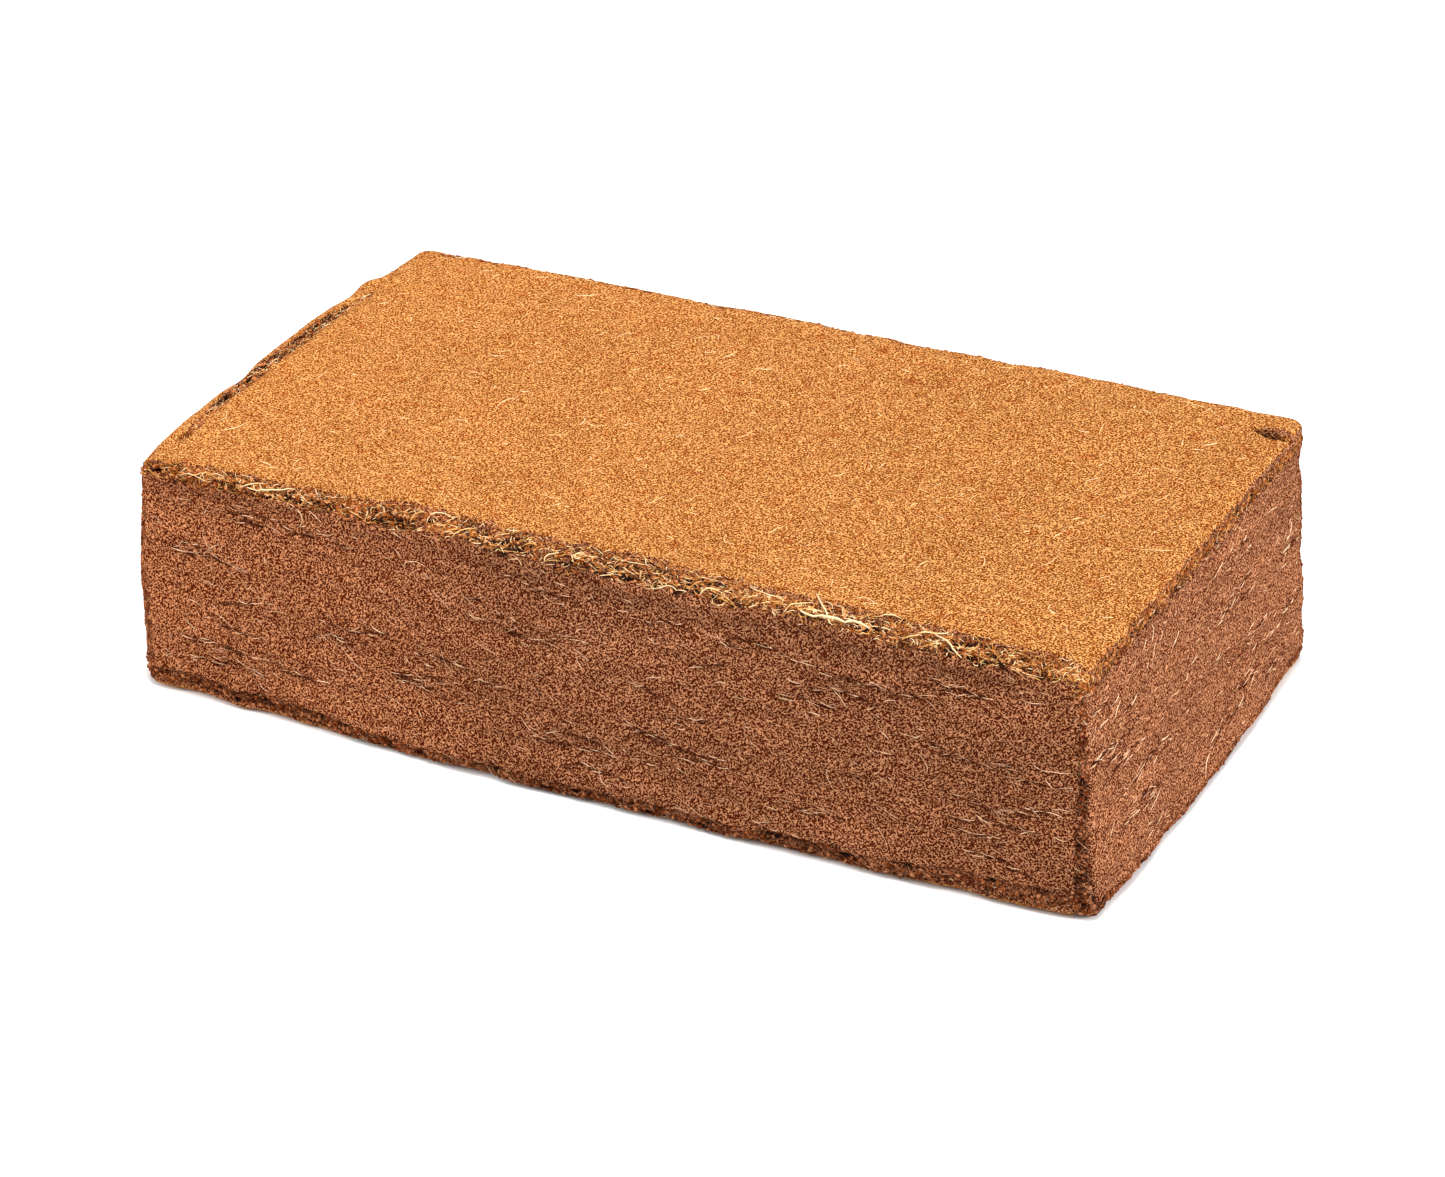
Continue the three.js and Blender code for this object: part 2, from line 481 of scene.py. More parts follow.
def crack_relief(places):
    """The groove of the corner crack, and how far the flake behind it stands up."""
    line, widths = crack_line()
    flat = places * (1, 1, 0)
    top = smoothstep(HIGH[Z] - 6, HIGH[Z] - 3, places[:, Z])
    ragged = share_from_line(line, widths, flat) + 0.4 * field(places, 0.9)
    groove = top * (1 - smoothstep(0.8, 1.2, ragged))
    behind = smoothstep(0.0, 0.8, flat[:, Y] - np.interp(flat[:, X], line[:, X], line[:, Y]))
    aside = smoothstep(line[0, X] - 1.5, line[0, X] + 3, flat[:, X])
    reach = np.clip(share_from_line(line, np.full(len(line), FLAKE_REACH), flat), 0, 1)
    flake = top * behind * aside * (1 - reach)
    return groove, flake


def side_splits(draws, density):
    """Splits between the layers of each side: where each starts, how long it is and how it wanders."""
    splits = []
    for axis, sign in ((X, -1), (X, 1), (Y, -1), (Y, 1)):
        span = HALF[Y] if axis == X else HALF[X]
        for _ in range(int(side_area(axis) * density)):
            length = draws.uniform(*SPLIT_LENGTHS)
            start = draws.uniform(-span + CLEAR_ENDS, span - CLEAR_ENDS - length)
            height = draws.uniform(CLEAR_FOOT, HIGH[Z] - CLEAR_TOP)
            slope = draws.normal() * SPLIT_SLOPE - (SPLIT_SLOPE if axis == Y else 0.0)
            splits.append((axis, sign, start, length, height, slope, draws.uniform(0, 99)))
    return splits


def split_height(split, along):
    """How high a split runs at places along it."""
    _, _, start, _, height, slope, phase = split
    run = along - start
    return height + slope * run + 0.7 * np.sin(run / 3.1 + phase) + 0.3 * np.sin(run / 1.1 + 3 * phase)


def split_relief(places, normals, splits):
    """How far each point of the sides is into a split, from 0 to 1."""
    into = np.zeros(len(places))
    for split in splits:
        axis, sign, start, length, *_ = split
        across = Y if axis == X else X
        along = places[:, across]
        on_side = normals[:, axis] * sign > 0.6
        near = np.flatnonzero(on_side & (along > start) & (along < start + length))
        run = (along[near] - start) / length
        half_width = 0.1 + 0.25 * np.sqrt(np.sin(np.pi * run))
        gap = np.abs(places[near, Z] - split_height(split, along[near]))
        into[near] = np.maximum(into[near], 1 - smoothstep(0.5, 1.2, gap / half_width))
    return into


def point_values(mesh, name, values):
    """Gives a mesh a value at each of its points, for a material to read."""
    attribute = mesh.attributes.new(name, "FLOAT", "POINT")
    attribute.data.foreach_set("value", np.asarray(values, np.float32))


def place_piece(mesh, name, material):
    """Makes an object of a finished mesh, which rides on the block."""
    for polygon in mesh.polygons:
        polygon.use_smooth = True
    mesh.materials.append(material)
    piece = bpy.data.objects.new(name, mesh)
    bpy.context.scene.collection.objects.link(piece)
    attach(piece, BODY)
    return piece


def joined_mesh(name, points, faces):
    """One mesh of many small bodies, from their points in millimetres. Nothing reaches under the floor."""
    points = points * MM
    points[:, Z] = np.maximum(points[:, Z], 0.0)
    mesh = bpy.data.meshes.new(name)
    mesh.from_pydata(points.tolist(), [], faces)
    mesh.update()
    return mesh


def laying_tree(passes=4):
    """The finished skin with its finest relief smoothed away, for laying fibres on."""
    skin = bmesh.new()
    skin.from_mesh(bpy.data.objects["pressed_skin"].data)
    smooth(skin, passes)
    bmesh.ops.scale(skin, vec=Vector((1, 1, 1)) / MM, verts=skin.verts)
    skin.normal_update()
    tree = BVHTree.FromBMesh(skin)
    skin.free()
    return tree


def outwards(axis, length):
    """A vector of that length along an axis: with a side's sign as the length, the way that it faces."""
    return Vector([length if other == axis else 0 for other in (X, Y, Z)])


def band_of(edge):
    """The middle of an edge's worn band, and half of its width at each point."""
    _, line, widths = LINES[WORN_EDGES.index(edge)]
    return line, widths


def line_length(line):
    return np.linalg.norm(line[-1] - line[0])


def random_on_side(draws, axis, sign):
    """A random point on one side of the plain box."""
    place = CENTRE + HALF * draws.uniform(-1, 1, 3)
    place[axis] = CENTRE[axis] + sign * HALF[axis]
    return Vector(place)


def random_in_band(draws, line, widths):
    """A random place near a worn line, within its width."""
    spot = draws.uniform(0, len(line) - 1.001)
    index = int(spot)
    part = spot - index
    middle = line[index] * (1 - part) + line[index + 1] * part
    away = draws.normal(size=3)
    away *= np.cbrt(draws.random()) / np.linalg.norm(away)
    return Vector(middle + away * widths[index])


def side_area(axis):
    """Area of one side of the plain box, in square centimetres."""
    across = [other for other in (X, Y, Z) if other != axis]
    return 4 * HALF[across[0]] * HALF[across[1]] / 100


def fibre_heading(axis, sign):
    """The way that most fibres lie on a side: along its layers, and on the long sides sloping a little."""
    if axis == X:
        return Vector((0, 1, 0))
    return Vector((1, 0, FIBRE_SLOPE * sign)) if axis == Y else Vector((1, 0, 0))


# Fibres


def lay_fibre(tree, start, heading, length, joints, bend, wander, draws):
    """Walks over the block from a start, and gives the places and normals that a fibre follows."""
    step = length / (joints - 1)
    place, normal = tree.find_nearest(start)[:2]
    course = heading - normal * heading.dot(normal)
    course.normalize()
    places, normals = [], []
    for _ in range(joints):
        places.append(place)
        normals.append(normal)
        turn = bend * step + wander * draws.normal()
        course = Matrix.Rotation(turn, 3, normal) @ course
        place, normal = tree.find_nearest(place + course * step)[:2]
        course -= normal * course.dot(normal)
        course.normalize()
    return places, normals


# A fibre is a thin three-sided tube.
TUBE_SIDES = 3


def fibre_tubes(places, normals, radii):
    """The points and faces of thin tubes, for arrays of fibres with as many joints each."""
    count, joints = places.shape[:2]
    along = np.gradient(places, axis=1)
    along /= np.linalg.norm(along, axis=2)[..., None]
    across = np.cross(along, normals)
    across /= np.linalg.norm(across, axis=2)[..., None]
    up = np.cross(across, along)
    turns = np.arange(TUBE_SIDES) * 2 * np.pi / TUBE_SIDES + np.pi / 2
    ring = np.cos(turns)[:, None] * across[:, :, None] + np.sin(turns)[:, None] * up[:, :, None]
    points = places[:, :, None] + radii[:, :, None, None] * ring
    faces = []
    for fibre in range(count):
        first = fibre * joints * TUBE_SIDES
        for joint in range(joints - 1):
            low = first + joint * TUBE_SIDES
            for side in range(TUBE_SIDES):
                turned = (side + 1) % TUBE_SIDES
                faces.append((low + side, low + TUBE_SIDES + side, low + TUBE_SIDES + turned, low + turned))
        last = first + (joints - 1) * TUBE_SIDES
        faces.append(tuple(first + side for side in range(TUBE_SIDES)))
        faces.append(tuple(last + side for side in reversed(range(TUBE_SIDES))))
    return points.reshape(-1, 3), faces


class Tangle(NamedTuple):
    """How fibres lie in a worn band.

    reach is where they end, in half widths of the band. The higher dark is, the fewer of them are pale.
    """

    lengths: tuple
    lift: float
    sink: float
    spread: float
    thick: tuple
    reach: float
    dark: float = 1.0


FRINGE_MAT = Tangle((0.8, 2.8), 0.5, 0.2, 0.75, (0.5, 1.05), 1.1, 1.5)
FRINGE_STRAWS = Tangle((3.0, 8.0), 0.6, 0.1, 0.25, (0.8, 1.6), 1.0, 0.5)
FRAY = Tangle((0.9, 3.0), 0.3, 0.15, 0.6, (0.45, 0.85), 1.3)

# How fibres lie on a face: the range of their height, how they turn aside and how much they bend. Their
# ends lie this far under the surface, and their tones are from 0, the darkest, to 1.
CRUST_LAY = ((0.02, 0.1), 1.6, 0.25)
LAYER_LAY = ((0.03, 0.14), 0.3, 0.16)
SUNKEN_ENDS = 0.04
FIBRE_TONES = (0.4, 1.0)
PALE_TONES = (0.55, 1.0)
SHORT_FIBRE = (1.0, 2.8)
LONG_FIBRE = (2.8, 6.5)
SHORT_SHARE = 0.8

# The fibres along the splits: their length, and the spacing of the pale ones and of the near-black ones
# that are painted shadow.
SPLIT_FIBRE = (0.8, 4.0)
PALE_SPACING = 2.2
SHADOW_FIBRE_SPACING = 1.0

# The share of the fringe's fibres that is left at places along the front. The right half is felted.
FRINGE_DENSITY = ((-103, 5, 25, 103), (0.5, 0.5, 0.82, 0.82))

# The share of straws among the fringe's fibres.
STRAW_SHARE = 0.05

# The share of a worn band's fibres that lie down at both ends, and how light those on the side are.
LYING_SHARE = 0.8
HANGING_TONE = 0.45

# The long straws that lie on the fringe: where each starts and ends, and how thick it is.
LONG_STRAWS = (
    ((-73.9, -50.6, 49.5), (-64.0, -51.0, 49.5), 0.35),
    ((43.5, -49.8, 50.5), (57.2, -51.3, 50.1), 0.6),
    ((43.8, -43.8, 50.4), (50.6, -51.0, 50.2), 0.4),
    ((69.1, -47.3, 50.5), (76.7, -51.4, 49.4), 0.35),
)


class FibreBatch:
    """Gathers fibres and makes them one mesh."""

    def __init__(self, draws):
        self.draws = draws
        self.by_joints = {}

    def add(self, places, normals, heights, radius, tone):
        kept = self.by_joints.setdefault(len(places), [])
        lifted = np.array(places) + np.array(normals) * np.array(heights)[:, None]
        kept.append((lifted, np.array(normals), radius, tone))

    def mesh(self, name):
        points, faces, tones = [], [], []
        base = 0
        for joints, kept in sorted(self.by_joints.items()):
            places = np.array([fibre[0] for fibre in kept])
            normals = np.array([fibre[1] for fibre in kept])
            taper = np.sin(np.linspace(0.18, 0.82, joints) * np.pi) ** 0.6
            radii = np.array([fibre[2] for fibre in kept])[:, None] * taper
            tube_points, tube_faces = fibre_tubes(places, normals, radii)
            points.append(tube_points)
            faces.extend(tuple(base + corner for corner in face) for face in tube_faces)
            tones.append(np.repeat([fibre[3] for fibre in kept], joints * TUBE_SIDES))
            base += len(tube_points)
        mesh = joined_mesh(name, np.concatenate(points), faces)
        point_values(mesh, "tone", np.concatenate(tones))
        return mesh


def turned_heading(draws, main, flat, spread_angle):
    """A heading near a main direction or its opposite, turned at random within the flat plane."""
    turn = draws.normal() * spread_angle
    return Matrix.Rotation(turn, 3, flat) @ (main * draws.choice((-1, 1)))


def arch(joints, bluntness=0.7):
    """The height of each joint of a fibre that rises from its ends, from 0 to 1."""
    return np.sin(np.linspace(0, 1, joints) * np.pi) ** bluntness


def lay_on_side(batch, tree, axis, sign, count, settings):
    """Lays fibres on one side of the block: along the layers, or any way on a pressed face."""
    draws = batch.draws
    lifts, turn, bend = CRUST_LAY if axis == Z else LAYER_LAY
    for _ in range(count):
        start = random_on_side(draws, axis, sign)
        length = draws.uniform(*(SHORT_FIBRE if draws.random() < SHORT_SHARE else LONG_FIBRE))
        joints = 4 if length < 2.4 else 6
        bent = draws.normal() * bend
        heading = turned_heading(draws, fibre_heading(axis, sign), outwards(axis, sign), turn)
        places, normals = lay_fibre(tree, start, heading, length, joints, bent, 0.14, draws)
        heights = draws.uniform(*lifts) * arch(joints) - SUNKEN_ENDS
        radius = settings.thickness / MM / 2 * draws.uniform(0.5, 1.0)
        batch.add(places, normals, heights, radius, draws.uniform(*FIBRE_TONES))


def lay_along_splits(batch, tree, splits, settings):
    """Lays the pale fibres that bridge the splits, and near-black ones along them that are painted shadow.
    """
    draws = batch.draws
    for split in splits:
        axis, sign, start, length, *_ = split
        across = Y if axis == X else X
        threads = int(length / PALE_SPACING) + 1
        for number in range(threads + int(length / SHADOW_FIBRE_SPACING) + 1):
            # The pale ones bridge the split above its middle, and the dark ones, painted shadow, lie along
            # it lower down.
            pale = number < threads
            aside, stray, turn = (0.1, 0.22, 0.12) if pale else (-0.1, 0.1, 0.06)
            along = start + length * draws.random()
            place = outwards(axis, sign * HALF[axis])
            place[across] = along
            place.z = split_height(split, along) + (aside + draws.normal() * stray)
            heading = turned_heading(draws, outwards(across, 1), outwards(axis, sign), turn)
            size = draws.uniform(*SPLIT_FIBRE)
            bend = draws.normal() * 0.1
            places, normals = lay_fibre(tree, place, heading, size, 5, bend, 0.1, draws)
            lift = draws.uniform(0.05, 0.2) if pale else 0.05
            heights = lift * arch(5)
            radius = settings.thickness / MM / 2 * draws.uniform(0.5, 0.95)
            tone = draws.uniform(*PALE_TONES) if pale else 0.0
            batch.add(places, normals, heights, radius, tone)


def lay_long_straw(batch, tree, start, end, thickness):
    """Lays one long straw over the fringe, from a place on the block to another."""
    joints = 10
    way = Vector(end) - Vector(start)
    places, normals = lay_fibre(tree, Vector(start), way, way.length, joints, 0.0, 0.05, batch.draws)
    batch.add(places, normals, 0.3 + 0.5 * arch(joints, 1.0), thickness / 2, 1.0)


def lay_in_band(batch, tree, edge, count, style, thickness, density=None):
    """Lays tangled fibres over a worn band, and leaves out those that end outside it.

    density gives places along X and the share of the fibres that is left at each.
    """
    line, widths = band_of(edge)
    draws = batch.draws
    fibres = []
    for _ in range(count):
        start = random_in_band(draws, line, widths)
        if density and draws.random() > np.interp(start.x, *density):
            continue
        place, normal = tree.find_nearest(start)[:2]
        spot = min(len(line) - 2, int(np.argmin(np.linalg.norm(line - place, axis=1))))
        main = Vector(line[spot + 1] - line[spot]).normalized()
        length = draws.uniform(*style.lengths)
        joints = 4 if length < 2 else 5 if length < 4 else 8
        heading = turned_heading(draws, main, normal, style.spread)
        bend = draws.normal() * 0.25
        places, normals = lay_fibre(tree, start, heading, length, joints, bend, 0.2, draws)
        # Some stand up at their end instead of lying down again.
        lying = draws.random() < LYING_SHARE
        rise = arch(joints, 0.6) if lying else np.linspace(0, 1, joints) ** 1.2
        heights = style.lift * draws.random() ** 1.4 * rise - style.sink * draws.random()
        radius = thickness / MM / 2 * draws.uniform(*style.thick)
        # Those that hang over the side are darker than those on the top.
        on_top = float(smoothstep(0.3, 0.85, abs(normals[0].z)))
        tone = (HANGING_TONE + (1 - HANGING_TONE) * on_top) * draws.random() ** style.dark
        fibres.append((places, normals, heights, radius, tone))
    ends = share_from_line(line, widths, np.array([places[-1] for places, *_ in fibres]))
    for fibre, share in zip(fibres, ends):
        if share < style.reach:
            batch.add(*fibre)


# Bits and crumbs

# Bits stay out of places with more painted shade than this. Their tones and the crumbs' are from 0, the
# darkest, to 1.
PAINTED_SHADE_LIMIT = 0.4
BIT_TONES = (0.2, 0.85)
CRUMB_TONES = 0.85

# A bit is a spindle: a tip, two rings of three points and the other tip.
SPINDLE_FACES = (
    (0, 2, 1),
    (0, 3, 2),
    (0, 1, 3),
    (1, 2, 5, 4),
    (2, 3, 6, 5),
    (3, 1, 4, 6),
    (4, 5, 7),
    (5, 6, 7),
    (6, 4, 7),
)


def bit_bodies(places, normals, headings, lengths, widths, bends, sinks):
    """The points and faces of many short curved spindles that lie on the block."""
    along = headings - normals * np.sum(headings * normals, axis=1)[:, None]
    along /= np.linalg.norm(along, axis=1)[:, None]
    across = np.cross(normals, along)
    middle = places - normals * sinks[:, None]
    points = np.empty((len(places), 8, 3))
    stations = ((-0.5, False), (-0.2, True), (0.2, True), (0.5, False))
    for station, (share, thick) in enumerate(stations):
        aside = bends * lengths * (0.25 - share * share)
        centre = middle + along * (lengths * share)[:, None] + across * aside[:, None]
        if not thick:
            points[:, 0 if station == 0 else 7] = centre - normals * (0.3 * widths)[:, None]
            continue
        first = 1 if station == 1 else 4
        for corner, angle in enumerate(np.radians((90, 210, 330))):
            out = across * np.cos(angle) + normals * np.sin(angle)
            points[:, first + corner] = centre + out * (widths / 2)[:, None]
    faces = np.arange(len(places))[:, None] * 8
    joined = []
    for face in SPINDLE_FACES:
        joined.extend((faces + np.array(face)[None]).tolist())
    return points.reshape(-1, 3), joined


def crumb_bodies(places, normals, widths, draws, shape):
    """The points and faces of many small lumps, each flattened and turned its own way."""
    corners, sides = shape
    count = len(places)
    aside = np.cross(normals, draws.normal(size=(count, 3)))
    aside /= np.linalg.norm(aside, axis=1)[:, None]
    beside = np.cross(normals, aside)
    stretch = draws.uniform(0.7, 1.3, (count, 3)) * np.array((1.0, 0.8, 0.6)) * widths[:, None] / 2
    jitter = draws.uniform(0.7, 1.25, (count, len(corners), 1))
    local = corners[None] * jitter * stretch[:, None]
    points = places[:, None] + np.einsum("nci,nij->ncj", local, np.stack((aside, beside, normals), axis=1))
    steps = np.arange(count)[:, None, None] * len(corners)
    faces = (sides[None] + steps).reshape(-1, sides.shape[1])
    return points.reshape(-1, 3), faces.tolist()


def crumb_shape():
    """The points and faces of one crumb."""
    ball = bmesh.new()
    bmesh.ops.create_icosphere(ball, subdivisions=1, radius=1.0)
    corners = np.array([v.co for v in ball.verts])
    sides = np.array([[v.index for v in face.verts] for face in ball.faces])
    ball.free()
    return corners, sides


def painted_shade_faces():
    """How much painted shade the skin has at each of its faces."""
    skin = bpy.data.objects["pressed_skin"].data
    firsts = [polygon.vertices[0] for polygon in skin.polygons]
    painted_shade = np.empty(len(skin.vertices), np.float32)
    skin.attributes["painted_shade"].data.foreach_get("value", painted_shade)
    return painted_shade[firsts]


def scatter_bits(draws, tree, painted_shade, sides, density):
    """Where bits lie on some sides, out of the deepest painted shade, with the way that each one points."""
    places, normals, headings = [], [], []
    for axis, sign in sides:
        away = outwards(axis, sign)
        main = fibre_heading(axis, sign)
        for _ in range(int(side_area(axis) * density)):
            start = random_on_side(draws, axis, sign) + away * 5
            place, normal, face, _ = tree.ray_cast(start, -away)
            if place is None or normal.dot(away) < 0.4 or painted_shade[face] > PAINTED_SHADE_LIMIT:
                continue
            places.append(place)
            normals.append(normal)
            headings.append(turned_heading(draws, main, away, 1.8 if axis == Z else 0.42))
    return np.array(places), np.array(normals), np.array(headings)


# Materials

# What the coir's colour is multiplied by in the crust's redder patches, and at the left end of the sides.
REDDER = (0.82, 0.6, 0.5, 1)
LEFT_PALER = (1.28, 1.17, 1.04, 1)

# The painted shade of pits, splits, the crack and the layers under torn edges: its colour, and how much of
# it the full shade takes on.
PAINTED_SHADE_COLOUR = (0.02, 0.006, 0.003, 1)
PAINTED_SHADE_SHARE = 0.94

PITH_SPECULAR = 0.04


def put(tree, kind, inputs=None, **settings):
    """Adds a node. Its inputs are given by name or number, as a value or as the socket that feeds them."""
    made = tree.nodes.new(kind)
    for name, value in settings.items():
        setattr(made, name, value)
    for name, value in (inputs or {}).items():
        if isinstance(value, bpy.types.NodeSocket):
            tree.links.new(value, made.inputs[name])
        else:
            made.inputs[name].default_value = value
    return made


def calculate(tree, operation, *values, clamp=False):
    made = put(tree, "ShaderNodeMath", dict(enumerate(values)), operation=operation, use_clamp=clamp)
    return made.outputs[0]


def weighted_sum(tree, start, *pairs):
    """A start value, plus each value's distance from a half times its weight."""
    total = start
    for value, weight in pairs:
        centred = calculate(tree, "SUBTRACT", value, 0.5)
        total = calculate(tree, "MULTIPLY_ADD", centred, weight, total)
    return total


def rescale(tree, value, low, high, new_low=0.0, new_high=1.0):
    """Stretches a value's range from low to high, and cuts off what lies outside."""
    limits = {"Value": value, "From Min": low, "From Max": high, "To Min": new_low, "To Max": new_high}
    return put(tree, "ShaderNodeMapRange", limits).outputs[0]


def mix_colours(tree, factor, first, second, blend_type="MIX"):
    made = put(
        tree, "ShaderNodeMix", {0: factor, 6: first, 7: second}, data_type="RGBA", blend_type=blend_type
    )
    return made.outputs[2]


def ramp(tree, factor, stops):
    """A colour ramp through stops of a place and a colour."""
    made = put(tree, "ShaderNodeValToRGB", {"Fac": factor})
    elements = made.color_ramp.elements
    while len(elements) < len(stops):
        elements.new(0.5)
    for element, (place, colour) in zip(elements, stops):
        element.position = place
        element.color = (*colour, 1)
    return made.outputs["Color"]


def noise_at(tree, vector, size, detail=2.0, roughness=0.55):
    """Noise with lumps of about that many metres."""
    made = put(
        tree,
        "ShaderNodeTexNoise",
        {"Vector": vector, "Scale": 1 / size, "Detail": detail, "Roughness": roughness},
    )
    return made.outputs["Fac"]


def stretched(tree, vector, scale):
    """A position, scaled along each axis, so that what is drawn with it shrinks by as much."""
    return put(tree, "ShaderNodeVectorMath", {0: vector, 1: scale}, operation="MULTIPLY").outputs[0]


def measured_along(tree, vector, direction):
    made = put(tree, "ShaderNodeVectorMath", {0: vector, 1: direction}, operation="DOT_PRODUCT")
    return made.outputs["Value"]


def new_group(name, inputs, outputs):
    """A shader group with its input and output nodes. Sockets are pairs of a name and a type."""
    group = bpy.data.node_groups.new(name, "ShaderNodeTree")
    for label, kind in inputs:
        group.interface.new_socket(label, in_out="INPUT", socket_type=kind)
    for label, kind in outputs:
        group.interface.new_socket(label, in_out="OUTPUT", socket_type=kind)
    given = group.nodes.new("NodeGroupInput").outputs
    return group, given, group.nodes.new("NodeGroupOutput").inputs


def pith_grain_group():
    """Pith grain: how light each grain is, and how high it stands. Layered adds the flecks of cut fibre."""
    group, given, wanted = new_group(
        "pith_grain",
        (("Position", "NodeSocketVector"), ("Layered", "NodeSocketFloat")),
        (("Tone", "NodeSocketFloat"), ("Height", "NodeSocketFloat")),
    )
    position = given["Position"]
    # The finest noise fades on planes that lie with its axes, as the top does, so its axes are turned.
    turn = {"Vector": position, "Rotation": (0.6, 0.5, 0.4)}
    turned = put(group, "ShaderNodeVectorRotate", turn, rotation_type="EULER_XYZ").outputs[0]
    fine = noise_at(group, turned, 0.33 * MM, 0.0)
    coarse = noise_at(group, position, 1.6 * MM, 2.0, 0.6)
    # The crust is coarser towards the front right corner.
    rightwards = measured_along(group, position, (1.0, -0.5, 0.0))
    coarser = rescale(group, rightwards, -HALF[X] * MM, HALF[X] * MM, 4.3, 6.9)
    plain = weighted_sum(group, 0.47, (fine, coarser), (coarse, 0.3))
    # Two sets of flecks cross at a narrow angle, and on the long sides both slope down to the right.
    flecks = None
    for across in ((0.42, 0.2, 1.0), (0.05, -0.2, 1.0)):
        flat = put(
            group,
            "ShaderNodeCombineXYZ",
            {
                0: measured_along(group, position, (0.36, 0.36, 0.0)),
                1: measured_along(group, position, across),
                2: measured_along(group, position, (0.3, -0.3, 0.0)),
            },
        ).outputs[0]
        streak = noise_at(group, flat, 0.36 * MM, 0.0)
        flecks = streak if flecks is None else calculate(group, "MAXIMUM", flecks, streak)
    fleck_tone = weighted_sum(group, 0.37, (flecks, 0.9), (fine, 6.2), (coarse, 0.3))
    tone = put(
        group, "ShaderNodeMix", {0: given["Layered"], 2: plain, 3: fleck_tone}, data_type="FLOAT"
    ).outputs[0]
    group.links.new(calculate(group, "ADD", tone, 0.0, clamp=True), wanted["Tone"])
    group.links.new(calculate(group, "MULTIPLY_ADD", coarse, 0.8, tone), wanted["Height"])
    return group


def coir_colour_group(colours):
    """The coir's colour, from its position, how light, how much of it crust and how much painted shade it
    has.
    """
    group, given, wanted = new_group(
        "coir_colour",
        (
            ("Position", "NodeSocketVector"),
            ("Tone", "NodeSocketFloat"),
            ("Crust", "NodeSocketFloat"),
            ("PaintedShade", "NodeSocketFloat"),
        ),
        (("Color", "NodeSocketColor"),),
    )
    position = given["Position"]
    crust = ramp(
        group,
        given["Tone"],
        ((0.0, colours.crust_dark), (0.5, colours.crust_mid), (1.0, colours.crust_light)),
    )
    layer = ramp(
        group,
        given["Tone"],
        ((0.0, colours.layer_dark), (0.45, colours.layer_mid), (1.0, colours.layer_light)),
    )
    # The crust has redder patches a few millimetres across. The sides have darker and lighter courses,
    # and are lighter towards their left end.
    patch = noise_at(group, position, 3.6 * MM, 3.0, 0.6)
    crust = mix_colours(group, rescale(group, patch, 0.56, 0.72), crust, REDDER, "MULTIPLY")
    courses = noise_at(group, stretched(group, position, (0.16, 0.16, 1.0)), 5 * MM, 2.0, 0.5)
    band = rescale(group, courses, 0.3, 0.7, 0.86, 1.12)
    layer = mix_colours(group, 1.0, layer, band, "MULTIPLY")
    leftwards = rescale(group, measured_along(group, position, (-1.0, 0.0, 0.0)), 0.0, HALF[X] * MM)
    layer = mix_colours(group, leftwards, layer, LEFT_PALER, "MULTIPLY")
    colour = mix_colours(group, given["Crust"], layer, crust)
    drift = noise_at(group, position, 24 * MM, 2.0, 0.5)
    colour = mix_colours(group, 1.0, colour, rescale(group, drift, 0.3, 0.7, 0.95, 1.05), "MULTIPLY")
    # Painted shade darkens the colour towards near black in pits, splits, the crack and under torn edges.
    shade = calculate(group, "MULTIPLY", given["PaintedShade"], PAINTED_SHADE_SHARE, clamp=True)
    colour = mix_colours(group, shade, colour, PAINTED_SHADE_COLOUR)
    group.links.new(colour, wanted["Color"])
    return group


def attribute_value(tree, name):
    return put(tree, "ShaderNodeAttribute", attribute_name=name).outputs["Fac"]


def new_material(name):
    """A material with its tree, its shader and its object coordinates."""
    material = bpy.data.materials.new(name)
    material.use_nodes = True
    tree = material.node_tree
    shader = tree.nodes["Principled BSDF"]
    shader.inputs["Metallic"].default_value = 0.0
    position = put(tree, "ShaderNodeTexCoord").outputs["Object"]
    return material, tree, shader, position


def set_surface(tree, shader, colour, roughness, specular, bump=None):
    """Gives a shader its colour and finish. bump is a height, its strength and how far it reaches."""
    tree.links.new(colour, shader.inputs["Base Color"])
    shader.inputs["Roughness"].default_value = roughness
    shader.inputs["Specular IOR Level"].default_value = specular
    if bump:
        inputs = dict(zip(("Height", "Strength", "Distance"), bump))
        tree.links.new(put(tree, "ShaderNodeBump", inputs).outputs["Normal"], shader.inputs["Normal"])


def skin_material(grain_group, colour_group):
    """Pressed pith: a granular orange crust, and layered red brown sides."""
    _, tree, shader, position = new_material("pith_skin")
    ragged = noise_at(tree, position, 1.1 * MM, 3.0, 0.65)
    crust = rescale(tree, weighted_sum(tree, attribute_value(tree, "crust"), (ragged, 1.6)), 0.36, 0.64)
    layered = calculate(tree, "SUBTRACT", 1.0, crust)
    grain_inputs = {"Position": position, "Layered": layered}
    grain = put(tree, "ShaderNodeGroup", grain_inputs, node_tree=grain_group)
    colour_inputs = {
        "Position": position,
        "Tone": grain.outputs["Tone"],
        "Crust": crust,
        "PaintedShade": attribute_value(tree, "painted_shade"),
    }
    colour = put(tree, "ShaderNodeGroup", colour_inputs, node_tree=colour_group)
    bump = (grain.outputs["Height"], 1.0, 0.14 * MM)
    set_surface(tree, shader, colour.outputs["Color"], 0.95, PITH_SPECULAR, bump)


def pith_material(name, colour_group, crust):
    """Bits and crumbs of pith, in the colours of what they lie on."""
    _, tree, shader, position = new_material(name)
    rough = noise_at(tree, position, 0.35 * MM, 2.0, 0.6)
    tone = weighted_sum(tree, attribute_value(tree, "tone"), (rough, 1.2))
    colour_inputs = {"Position": position, "Tone": tone, "Crust": crust}
    colour = put(tree, "ShaderNodeGroup", colour_inputs, node_tree=colour_group)
    bump = (rough, 0.8, 0.12 * MM)
    set_surface(tree, shader, colour.outputs["Color"], 0.92, PITH_SPECULAR, bump)


